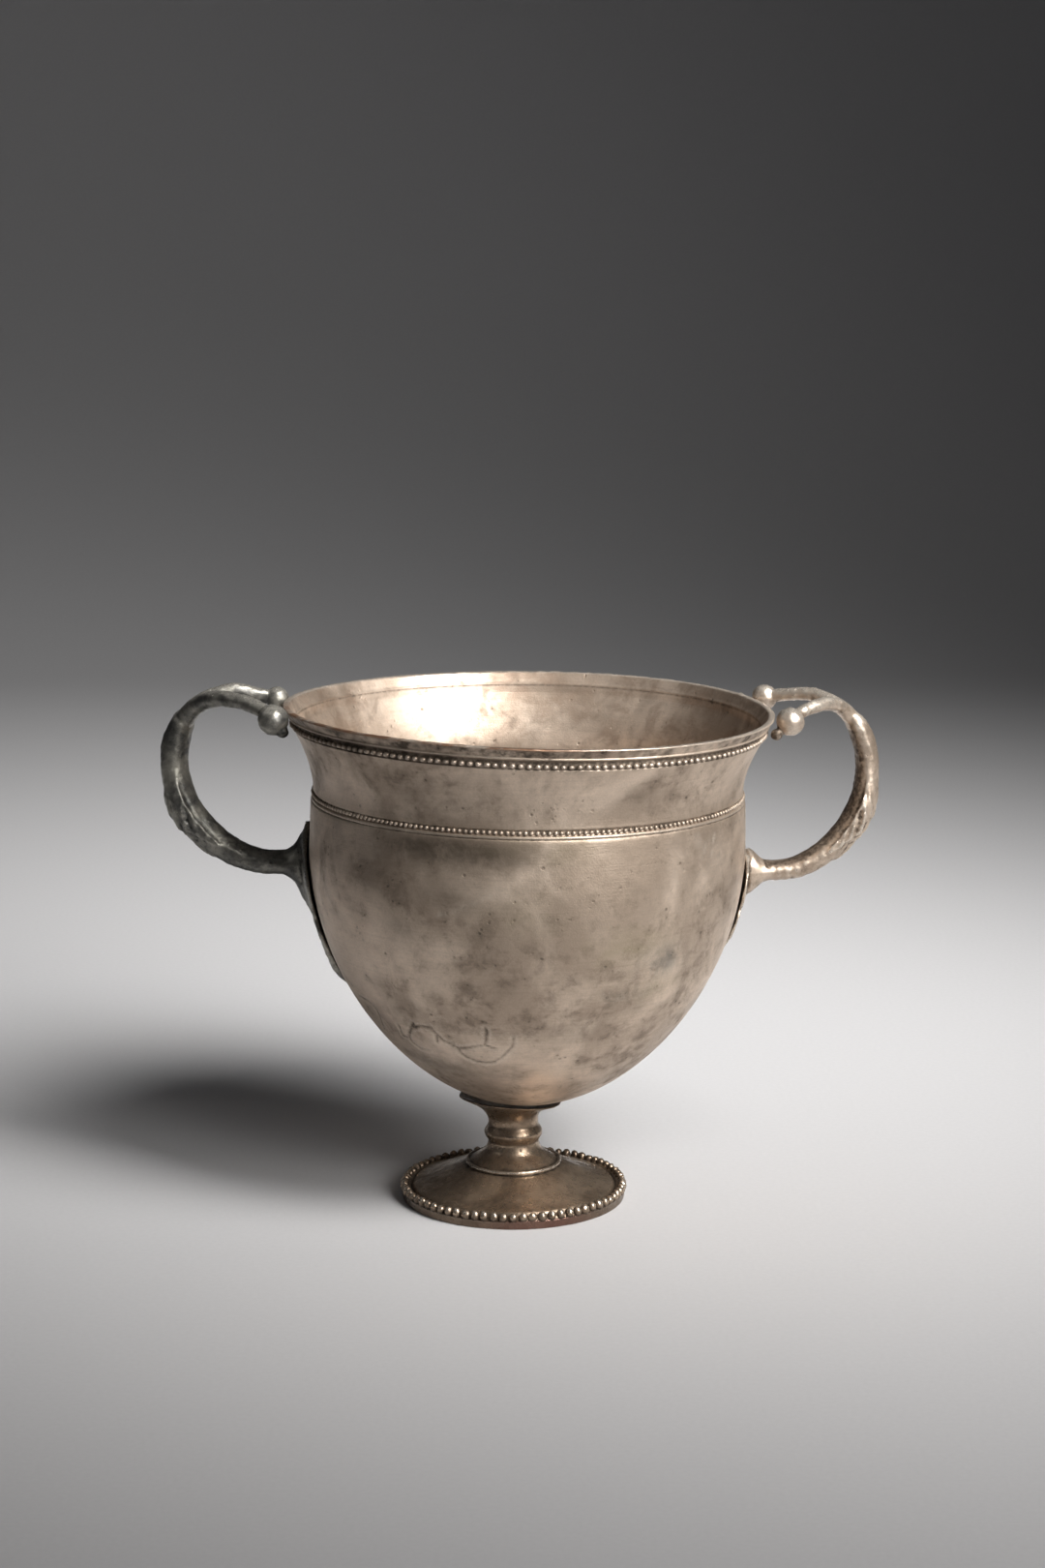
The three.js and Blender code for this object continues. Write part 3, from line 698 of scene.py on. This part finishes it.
# Painted shade and grime in the cut lines and round the bead rows, patchy grime on the lip band, and
# inside a soft painted shadow line under the lip's ledge.
lines_cut = sum(bell(height, level, width) for level, width in (
    (89.78, 0.12), (90.62, 0.14), (91.6, 0.14), (104.92, 0.1), (106.5, 0.24)))
lip_dirt = smooth_step(height, 107.3, 107.7) * (1 - smooth_step(height, 109.0, 109.3))
lip_dirt *= np.clip(0.42 + 0.4 * uneven(points, 1.3, 54) + 0.35 * uneven(points, 9, 55), 0, 0.9)
ledge_shadow_line = bell(height, 106.85, 0.22) * 0.15
shade_round_beads = smooth_step(height, 104.92, 105.05) * (1 - smooth_step(height, 106.3, 106.6))
shade_round_beads += 0.8 * smooth_step(height, 90.55, 90.7) * (1 - smooth_step(height, 91.5, 91.65))
outer_dirt_and_shade = np.clip(lines_cut + shade_round_beads, 0, 1) * 0.9 + lip_dirt
# Painted shade along the creases of the dent.
crease_shade = 0.75 * bell(np.maximum(from_crease, 0), 0, 0.27)
mark(bowl_mesh, "recess", np.clip(np.where(inner, ledge_shadow_line, outer_dirt_and_shade), 0, 1) + crease_shade)
# Painted highlights on the rim's top edge, on the lip's ridge and on the shoulder's ridge; the punched
# dots and the scratch are bright metal.
rim_edge_highlight = smooth_step(height, 109.2, 109.42) * 0.7
ridge_highlight = bell(height, 107.22, 0.12) * 0.35 + bell(height, 90.15, 0.18) * 0.35
# Painted highlight along the edges beside the creases.
crease_edge_highlight = bell(from_crease, 0.8, 0.35)
mark(bowl_mesh, "proud", np.clip(
    rim_edge_highlight + np.where(inner, 0, ridge_highlight) + 0.8 * dots + 0.3 * scratch + 0.25 * crease_edge_highlight,
    0, 1))
mark(bowl_mesh, "inside", inner)

# Stains outside: strength, azimuth and height of the middle, and size across and up
STAINS = {
    "smoke": [
        (0.9, 243, 87, 13, 3.2), (0.8, 258, 86.5, 12, 2.6), (0.6, 250.5, 76, 5, 2.5),
        (0.55, 236, 69, 4, 3), (0.5, 212, 86, 4, 6), (0.7, 233, 36.5, 9, 2.6),
        (0.4, 226, 80, 5, 5), (0.45, 257.5, 69.2, 1.2, 1.6), (0.4, 258.7, 63.9, 2.0, 1.2),
        (0.4, 306.5, 51.4, 6, 1.0), (0.35, 264, 58, 2.4, 2), (0.35, 287, 47, 7, 3),
        (0.35, 243, 98, 9, 4), (0.3, 232, 51, 6, 3), (0.3, 292, 80.5, 3, 1.0),
        (0.3, 298, 78.5, 1.6, 1.2), (0.35, 300, 98, 5, 2.5),
    ],
    "blue": [(0.9, 309, 62, 6, 3.2), (0.6, 298, 55.6, 6, 2)],
    "gold": [
        (0.7, 297, 66, 9, 4), (0.5, 306, 56, 9, 3), (0.35, 275, 88, 12, 3), (0.3, 268, 75, 8, 5),
    ],
}
for name, stains in STAINS.items():
    stained = np.zeros(len(points))
    for strength, place, level, wide, tall in stains:
        inside_stain = np.exp(-((across_from(place) / wide) ** 2 + ((height - level) / tall) ** 2))
        stained += strength * (inside_stain * ~inner)
    mark(bowl_mesh, name, np.clip(stained, 0, 1))
copper_edge = (1 - smooth_step(np.abs(azimuth - 232), 36, 62)) * smooth_step(height, 108.9, 109.3)
mark(bowl_mesh, "copper", copper_edge)
set_corners(bowl_mesh, on_cup(points))

bowl_silver, tree, colour, surface = silver_material(
    "bowl_grey_silver", bright=(0.72, 0.59, 0.475), dull=(0.42, 0.33, 0.255),
    dark=(0.115, 0.09, 0.068), tarnish=0.5, cloud_scale=42, lines=0.28, relief=0.6, gloss=-0.05)
where = add_node(tree, "ShaderNodeTexCoord", {}, {}).outputs["Object"]
wisps = noise(tree, where, 150, 6, 0.65, 0.8)
sparkle = add_node(tree, "ShaderNodeTexVoronoi", {}, {"Vector": where, "Scale": 1500})


def in_wisps(name, *ramp):
    """Where a mark of the bowl shows, broken up by the wisps."""
    return maths(tree, "MULTIPLY", attribute(tree, name), between(tree, wisps, *ramp))


for name, ramp, strength, tint in (
    ("smoke", (0.3, 0.62, 0.4, 1.0), 0.85, (0.085, 0.066, 0.046)),
    ("blue", (0.35, 0.6), 0.6, (0.15, 0.17, 0.165)),
    ("gold", (0.4, 0.65, 0.3, 1.0), 0.6, (0.33, 0.28, 0.165)),
):
    share = maths(tree, "MULTIPLY", in_wisps(name, *ramp), strength)
    colour = blend(tree, share, colour, (*tint, 1))
points_of_light = between(tree, sparkle.outputs["Distance"], 0.22, 0.10)
glint = maths(tree, "MULTIPLY", in_wisps("gold", 0.5, 0.62), points_of_light)
colour = blend(tree, glint, colour, (0.80, 0.74, 0.55, 1))
colour = blend(tree, in_wisps("inside", 0.46, 0.62, 0.1, 0.45), colour, (0.24, 0.16, 0.11, 1))
colour = blend(tree, in_wisps("copper", 0.35, 0.6), colour, (0.36, 0.20, 0.12, 1))
tree.links.new(colour, surface.inputs["Base Color"])
finish_piece(bowl_mesh, bowl_silver, "bowl")


# --- Beads of the bowl -----------------------------------------------------------------------
# Two rows of beads struck into the sheet with a small hollow punch, one under the lip and a finer
# one along the shoulder. Their tops are painted bright as highlight and their edges painted dark as
# shade.

def place_bowl_beads(name, count, row_radius, row_height, half, seed):
    mesh = bead_row(
        name, count, row_radius, row_height, half, seed, sides=9, rings=7, jitter=0.10)
    points = corners(mesh)
    reach = (np.hypot(points[:, 0], points[:, 1]) - row_radius) / half[1]
    # Painted highlight on the bead tops, painted shade round their edges.
    mark(mesh, "proud", smooth_step(reach, 0.70, 1.0) * 0.5)
    mark(mesh, "recess", 0.85 * (1 - smooth_step(reach, 0.35, 0.85)))
    for name in ("inside", "smoke", "blue", "gold", "copper"):
        mark(mesh, name, 0 * reach)
    set_corners(mesh, on_cup(points))
    finish_piece(mesh, bowl_silver)


place_bowl_beads("upper_beads", count=188, row_radius=50.85, row_height=105.62,
                 half=(0.70, 0.72, 0.54), seed=61)
place_bowl_beads("lower_beads", count=238, row_radius=46.38, row_height=91.12,
                 half=(0.50, 0.56, 0.48), seed=62)


# --- Handles ---------------------------------------------------------------------------------
# Each is cast in one piece: a leaf plate that lies on the belly, a ring with a leaf sheath half way
# up, and a fork of two arms that end in balls against the lip, with a bud under each ball.

VOXEL = 0.26
BUD_RADIUS = 1.3
# Height over the root of the ring and half width, from the tip of the leaf plate up
LEAF_OUTLINE = [
    (-25.8, 0.5), (-22, 5.0), (-17, 7.6), (-13, 9.3), (-10, 8.6),
    (-7, 11.0), (-1.5, 11.8), (3.5, 9.2), (7, 3.6), (9.2, 0.5),
]


def ring_point(handle, turn):
    """Point of the ring at an angle: 0 is its outermost point, -pi/2 its lowest."""
    middle = handle["top_radius" if turn > 0 else "low_radius"]
    rise = abs(handle["top_height" if turn > 0 else "low_height"] - handle["waist_height"])
    return np.array([
        middle + (handle["reach"] - middle) * math.cos(turn), 0.0,
        handle["waist_height"] + rise * math.sin(turn),
    ])


def ring_path(handle):
    end = math.radians(handle["merge_angle"])

    def path(share):
        turn = -math.pi / 2 + (share - 0.1) / 0.9 * (end + math.pi / 2)
        point = ring_point(handle, max(turn, -math.pi / 2))
        root = min(1.0, share / 0.1)
        point[0] = (BELLY_RADIUS + 1.4) * (1 - root) + point[0] * root
        out = float(smooth_step(share, 0, 0.6))
        point[1] = handle["plate_sway"] * (1 - out) + handle["ring_sway"] * out
        return point
    return path


def ring_section(handle):
    """Nearly flat inside and round outside, with a sheath of leaf lobes whose tips point down."""
    def section(share, x, z):
        power = handle["inner_power"] if z > 0 else 0.95
        flare = 1 - float(smooth_step(share, 0, 0.11))
        end = 1 - 0.5 * float(smooth_step(share, 0.88, 1))
        width = handle["half_width"] * (0.88 + 0.2 * share + 0.35 * flare) * end
        depth = handle["half_depth"] * (1 + 1.3 * flare * flare) * end
        around = math.atan2(x, -z)
        swell = 0.0
        if z < 0.25:
            for start, middle, lobes, height in ((0.36, 0.0, 4, 0.62), (0.44, math.pi / 4, 4, 0.7)):
                tip = start - 0.06 * math.cos(lobes * (around - middle))
                vein = 1 - 0.45 * math.exp(-((math.sin(lobes * (around - middle) / 2) / 0.16) ** 2))
                swell += height * float(smooth_step(share, tip, tip + 0.012)) * vein
            ripple = 0.16 * math.cos(11 * abs(around) - 95 * share)
            swell += ripple * float(smooth_step(share, 0.32, 0.40))
            swell *= 1 - float(smooth_step(share, 0.48, 0.64))
        groove = 0
        if z < 0:
            groove = 0.7 * float(smooth_step(share, 0.72, 1)) * math.exp(-((x / 0.3) ** 2))
        grown = 1 + swell / handle["half_depth"]
        side = width * math.copysign(abs(x) ** power, x) * (1 + (grown - 1) * 0.6)
        body = float(smooth_step(share, 0.16, 0.42)) * (1 - float(smooth_step(share, 0.76, 0.98)))
        inward = depth * math.copysign(abs(z) ** power, z)
        inward *= grown if z < 0 else 0.95 + 0.33 * body
        low = float(smooth_step(share, 0.08, 0.2)) * (1 - float(smooth_step(share, 0.34, 0.48)))
        inward -= (0.35 * low * -z) if z < 0 else 0
        return side, inward + groove + 0.5 * body * x * x
    return section


def add_shape(whole, shape):
    """Puts one closed shape in with the others of a casting."""
    mesh = bpy.data.meshes.new("shape")
    shape.to_mesh(mesh)
    shape.free()
    whole.from_mesh(mesh)
    bpy.data.meshes.remove(mesh)


def bend_bar(path, section, sides, stations):
    """A bar swept along a path, from a straight cylinder."""
    bar = bmesh.new()
    bmesh.ops.create_cone(bar, cap_ends=True, segments=sides, radius1=1, radius2=1, depth=1)
    upright = [e for e in bar.edges if abs(e.verts[0].co.z - e.verts[1].co.z) > 0.5]
    bmesh.ops.subdivide_edges(bar, edges=upright, cuts=stations - 1, use_grid_fill=True)
    frames = {}
    for corner in bar.verts:
        share = round(corner.co.z + 0.5, 5)
        if share not in frames:
            along = path(min(1.0, share + 1e-3)) - path(max(0.0, share - 1e-3))
            along /= np.linalg.norm(along)
            across = np.array([0, 1.0, 0]) - along * along[1]
            across /= np.linalg.norm(across)
            frames[share] = (path(share), across, np.cross(along, across))
        centre, across, inward = frames[share]
        x, z = corner.co.x, corner.co.y
        side, depth = section(share, x, z)
        corner.co = centre + across * side + inward * depth
    return bar


def through(points):
    """Smooth curve through some points."""
    points = [2 * points[0] - points[1], *points, 2 * points[-1] - points[-2]]

    def curve(share):
        place = share * (len(points) - 3)
        i = min(int(place), len(points) - 4)
        w = place - i
        a, b, c, d = points[i:i + 4]
        t0, t1, t2 = (max(np.linalg.norm(q - p), 1e-9) ** 0.5 for p, q in ((a, b), (b, c), (c, d)))
        m1 = ((b - a) / t0 - (c - a) / (t0 + t1) + (c - b) / t1) * t1
        m2 = ((c - b) / t1 - (d - b) / (t1 + t2) + (d - c) / t2) * t1
        bend = -3 * b + 3 * c - 2 * m1 - m2
        return b + m1 * w + bend * w ** 2 + (2 * b - 2 * c + m1 + m2) * w ** 3
    return curve


def ball_place(handle, side):
    """Middle of a ball that touches the lip, which is higher at some places than at others."""
    spread = side * handle["fork_spread"]
    across = handle["fork_sway"] + spread
    drop = handle["ball_drop"] - spread * math.tan(math.radians(handle["fork_roll"]))
    below = max(0, drop - 0.35)
    reach = RIM_RADIUS + math.sqrt((handle["ball_radius"][side] + 0.3) ** 2 - below ** 2)
    place = math.radians(handle["azimuth"]) + math.asin(across / reach)
    lip = -reach * math.cos(place) * math.tan(BOWL_LEAN) + RIM_WARP * math.sin(2 * place)
    return np.array([math.sqrt(reach ** 2 - across ** 2), across, RIM_HEIGHT - drop + lip])


def bud_place(handle, side):
    """Middle of the bud that hangs under a ball, on the side of the cup."""
    way = np.array([-handle["bud_inset"], side * 0.6, -handle["bud_drop"]])
    reach = handle["ball_radius"][side] + handle["bud_reach"]
    return ball_place(handle, side) + way / np.linalg.norm(way) * reach


def arm_path(handle, side, ball):
    merge = math.radians(handle["merge_angle"])
    stops = []
    for turn, spread in ((merge - 0.34, 0.03), (merge + 0.04, 0.17), (math.pi / 2 - 0.12, 0.52)):
        point = ring_point(handle, turn)
        middle = handle["ring_sway"] * (1 - spread) + handle["fork_sway"] * spread
        point[1] = middle + side * handle["fork_spread"] * spread
        point[2] -= handle["arm_sag"][side] * spread
        stops.append(point)
    outward = stops[-1] - ball
    outward[2] = 0
    outward /= np.linalg.norm(outward)
    over = ball + outward * 4.2 + np.array([0, 0, handle["arch"][side]])
    return through([*stops, over, ball])


def leaf_half_width(share):
    """Height over the arm's root and half width of the leaf at a share of its length."""
    place = share * (len(LEAF_OUTLINE) - 1)
    i = min(int(place), len(LEAF_OUTLINE) - 2)
    w = place - i
    last = len(LEAF_OUTLINE) - 1
    a, b, c, d = (np.array(LEAF_OUTLINE[min(max(k, 0), last)]) for k in range(i - 1, i + 3))
    v0, v1 = (c - a) * 0.5, (d - b) * 0.5
    return (2 * b - 2 * c + v0 + v1) * w ** 3 + (-3 * b + 3 * c - 2 * v0 - v1) * w ** 2 + v0 * w + b


def leaf_plate(handle):
    plate = bmesh.new()
    bmesh.ops.create_cube(plate, size=1)
    for axis, cuts in ((0, 27), (1, 79)):
        lines = [e for e in plate.edges if abs(e.verts[0].co[axis] - e.verts[1].co[axis]) > 0.9]
        bmesh.ops.subdivide_edges(plate, edges=lines, cuts=cuts, use_grid_fill=True)
    sway = handle["plate_sway"]
    for corner in plate.verts:
        x, y, z = corner.co
        rise, half = leaf_half_width(y + 0.5)
        rise *= handle["leaf_top"] if rise > 0 else handle["leaf_low"]
        height = handle["low_height"] + rise
        across = 2 * x * max(half, 0.4)
        wall = math.sqrt(float(belly_radius(height)) ** 2 - (across + sway) ** 2)
        edge = (across / 11) ** 2
        above = 1 - float(smooth_step(rise, 0, 9))
        rib = handle["rib"] * float(smooth_step(rise, -22, 0)) ** 2 * above
        rib *= math.exp(-((across / 3.2) ** 2))
        veins = 0.12 * math.cos(across * 1.4 + rise * 0.9) * (1 - abs(x) * 0.6)
        outer = handle["plate"] * (1 - 0.3 * edge) + rib + veins if z > 0 else 0
        tail = float(smooth_step(-rise, 15, 22)) * (1 - float(smooth_step(-rise, 25, 28)))
        out = wall + 0.35 + 0.4 * handle["plate"] * edge + outer * (1 + handle["tail"] * tail)
        corner.co = (out, across + sway, height)
    return plate


def corner_normals(mesh):
    flat = np.empty(len(mesh.vertices) * 3, np.float32)
    mesh.vertices.foreach_get("normal", flat)
    return flat.reshape(-1, 3)


def relief(mesh, rounds, reach):
    """How far each corner stands out from its surroundings once smoothed, as a share of reach."""
    pairs = np.empty(len(mesh.edges) * 2, np.int32)
    mesh.edges.foreach_get("vertices", pairs)
    first, second = pairs.reshape(-1, 2).T
    count = sum(np.bincount(end, minlength=len(mesh.vertices)) for end in (first, second))
    start = corners(mesh)
    smooth = start.copy()
    for _ in range(rounds):
        total = np.zeros_like(smooth)
        for axis in range(3):
            total[:, axis] = np.bincount(first, smooth[second, axis], len(smooth))
            total[:, axis] += np.bincount(second, smooth[first, axis], len(smooth))
        smooth = total / count[:, None]
    return ((start - smooth) * corner_normals(mesh)).sum(1) / reach


def cast_handle(name, handle):
    """Ring, leaf plate and fork fused into one mesh, in the handle's own frame."""
    bm = bmesh.new()
    add_shape(bm, bend_bar(ring_path(handle), ring_section(handle), 60, 240))
    add_shape(bm, leaf_plate(handle))
    for side in (-1, 1):
        ball = ball_place(handle, side)

        def taper(share, x, z):
            near = share ** 0.6
            thick = handle["half_depth"] * 0.84 * (1 - near) + handle["arm_radius"] * near
            return x * thick, z * thick
        add_shape(bm, bend_bar(arm_path(handle, side, ball), taper, 32, 60))
        for size, around, place in (
            (handle["ball_radius"][side], 48, ball), (BUD_RADIUS, 24, bud_place(handle, side)),
        ):
            made = bmesh.ops.create_uvsphere(
                bm, u_segments=around, v_segments=around * 7 // 12, radius=size)["verts"]
            bmesh.ops.translate(bm, verts=made, vec=place)
    bmesh.ops.recalc_face_normals(bm, faces=bm.faces)
    rough_cast = bpy.data.meshes.new(name + "_cast")
    bm.to_mesh(rough_cast)
    bm.free()
    cast = bpy.data.objects.new(name + "_cast", rough_cast)
    bpy.context.scene.collection.objects.link(cast)
    fuse = cast.modifiers.new("fuse", "REMESH")
    fuse.mode = "VOXEL"
    fuse.voxel_size = VOXEL
    ease = cast.modifiers.new("ease", "SMOOTH")
    ease.factor = 0.5
    ease.iterations = 3
    bpy.context.view_layer.update()
    fused = cast.evaluated_get(bpy.context.evaluated_depsgraph_get())
    mesh = bpy.data.meshes.new_from_object(fused)
    mesh.name = name + "_chased"
    bpy.data.objects.remove(cast)
    bpy.data.meshes.remove(rough_cast)
    return mesh


def make_handle(name, handle, material, seed):
    """A cast handle with its skin, rubbed places, grime, painted highlights on its upper faces and
    painted shade under the balls, under the plate and on the ring's inner face, set against the bowl.
    """
    mesh = cast_handle(name, handle)
    points = corners(mesh)
    skin = 0.06 * uneven(points, 3.2, seed) + 0.035 * uneven(points, 1.1, seed + 1)
    points += corner_normals(mesh) * skin[:, None]
    set_corners(mesh, points)
    stand = np.clip(0.6 * relief(mesh, 10, 0.10) + 0.5 * relief(mesh, 70, 0.75), -1.5, 1.5)
    normals = corner_normals(mesh)
    # Upper faces near the top are painted bright: rubbing with painted highlight.
    worn_and_lit_top = smooth_step(normals[:, 2], 0.35, 0.9) * smooth_step(points[:, 2], 102, 107)
    # The buds under the balls are painted dark as shade and kept from the bright rubbing.
    shade_under_balls = 0 * worn_and_lit_top
    for side in (-1, 1):
        from_bud = np.linalg.norm(points - bud_place(handle, side), axis=1)
        shade_under_balls += 1 - smooth_step(from_bud, BUD_RADIUS + 0.05, BUD_RADIUS + 0.6)
    # Painted shadow in the gap between the leaf plate and the belly, below 86 mm.
    gap = np.clip(1.5 - (np.hypot(points[:, 0], points[:, 1]) - belly_radius(points[:, 2])), 0, 1)
    wear_and_sheen = smooth_step(stand, 0.5, 1.2) * handle["edge_wear"] + worn_and_lit_top * handle["top_wear_and_sheen"]
    # The ring's inner face, facing its middle, is painted dark as shade and kept from the bright
    # rubbing.
    middle = np.array([handle["low_radius"] + 7.5, 0, handle["waist_height"] - 2])
    to_middle = (middle - points) * [1, 0, 1]
    distance = np.linalg.norm(to_middle, axis=1)
    facing = (normals * to_middle).sum(1) / np.maximum(distance, 1e-6)
    hollow = smooth_step(facing, 0.25, 0.85) * (points[:, 0] > 52) * (points[:, 2] < 104)
    mark(mesh, "proud", np.clip(
        wear_and_sheen * (1 - np.clip(shade_under_balls, 0, 1)) * (1 - 0.7 * hollow), 0, 1))
    mark(mesh, "recess", np.clip(
        smooth_step(-stand, 0.12, 0.7) + 0.85 * gap * (points[:, 2] < 86) + shade_under_balls
        + handle["inner_shade"] * hollow, 0, 1))
    cos, sin = math.cos(math.radians(handle["azimuth"])), math.sin(math.radians(handle["azimuth"]))
    x, y, z = points.T
    set_corners(mesh, lean(x * cos - y * sin, x * sin + y * cos, z))
    finish_piece(mesh, material, name)


# Lengths in millimetres and angles in degrees, in the handle's own frame: outward, across and up.
# A pair of values is for the arms of the fork on the two sides, 1 and -1 across.
left_oxide = silver_material(
    "left_black_silver", bright=(0.33, 0.315, 0.27), dull=(0.115, 0.113, 0.105),
    dark=(0.024, 0.024, 0.023), tarnish=0.65, cloud_scale=140, lines=0.0, relief=0.9, gloss=0.06)[0]
make_handle("handle_left", {
    "azimuth": 177, "reach": 77.8, "waist_height": 96.4, "top_radius": 63.6, "top_height": 111.4,
    "low_radius": 54.6, "low_height": 73.9, "half_width": 3.5, "half_depth": 2.7,
    "inner_power": 1.25, "merge_angle": 50, "arm_radius": 1.5, "arm_sag": {1: -0.3, -1: 0.4},
    "arch": {1: 1.9, -1: 0.9},
    "ball_radius": {1: 3.25, -1: 2.6}, "ball_drop": 1.1, "bud_inset": 2.1, "bud_drop": 2.4,
    "bud_reach": 0.1, "fork_spread": 12.7, "fork_roll": -1.8, "fork_sway": 6.3, "ring_sway": -2.0,
    "plate_sway": -1.6, "plate": 1.1, "rib": 4.2, "tail": 0.45, "leaf_top": 1.0, "leaf_low": 1.05,
    "top_wear_and_sheen": 1.0, "edge_wear": 0.4, "inner_shade": 0.25,
}, left_oxide, seed=71)

right_cream = silver_material(
    "right_cream_silver", bright=(0.64, 0.525, 0.42), dull=(0.44, 0.345, 0.265),
    dark=(0.10, 0.075, 0.055), tarnish=0.55, cloud_scale=120, lines=0.0, relief=0.7, gloss=0.04)[0]
make_handle("handle_right", {
    "azimuth": 6.8, "reach": 75.2, "waist_height": 95.5, "top_radius": 62.3, "top_height": 110.7,
    "low_radius": 54.0, "low_height": 72.8, "half_width": 3.4, "half_depth": 2.2,
    "inner_power": 1.0, "merge_angle": 60, "arm_radius": 1.3, "arm_sag": {1: 0, -1: -0.3},
    "arch": {1: 0.9, -1: 1.9},
    "ball_radius": {1: 2.8, -1: 3.05}, "ball_drop": 0.5, "bud_inset": 3.1, "bud_drop": 2.7,
    "bud_reach": 1.05, "fork_spread": 13.7, "fork_roll": 1.25, "fork_sway": 0, "ring_sway": 0,
    "plate_sway": 0, "plate": 0.7, "rib": 2.0, "tail": 0, "leaf_top": 0.5, "leaf_low": 0.68,
    "top_wear_and_sheen": 0.8, "edge_wear": 0.8, "inner_shade": 0.85,
}, right_cream, seed=81)
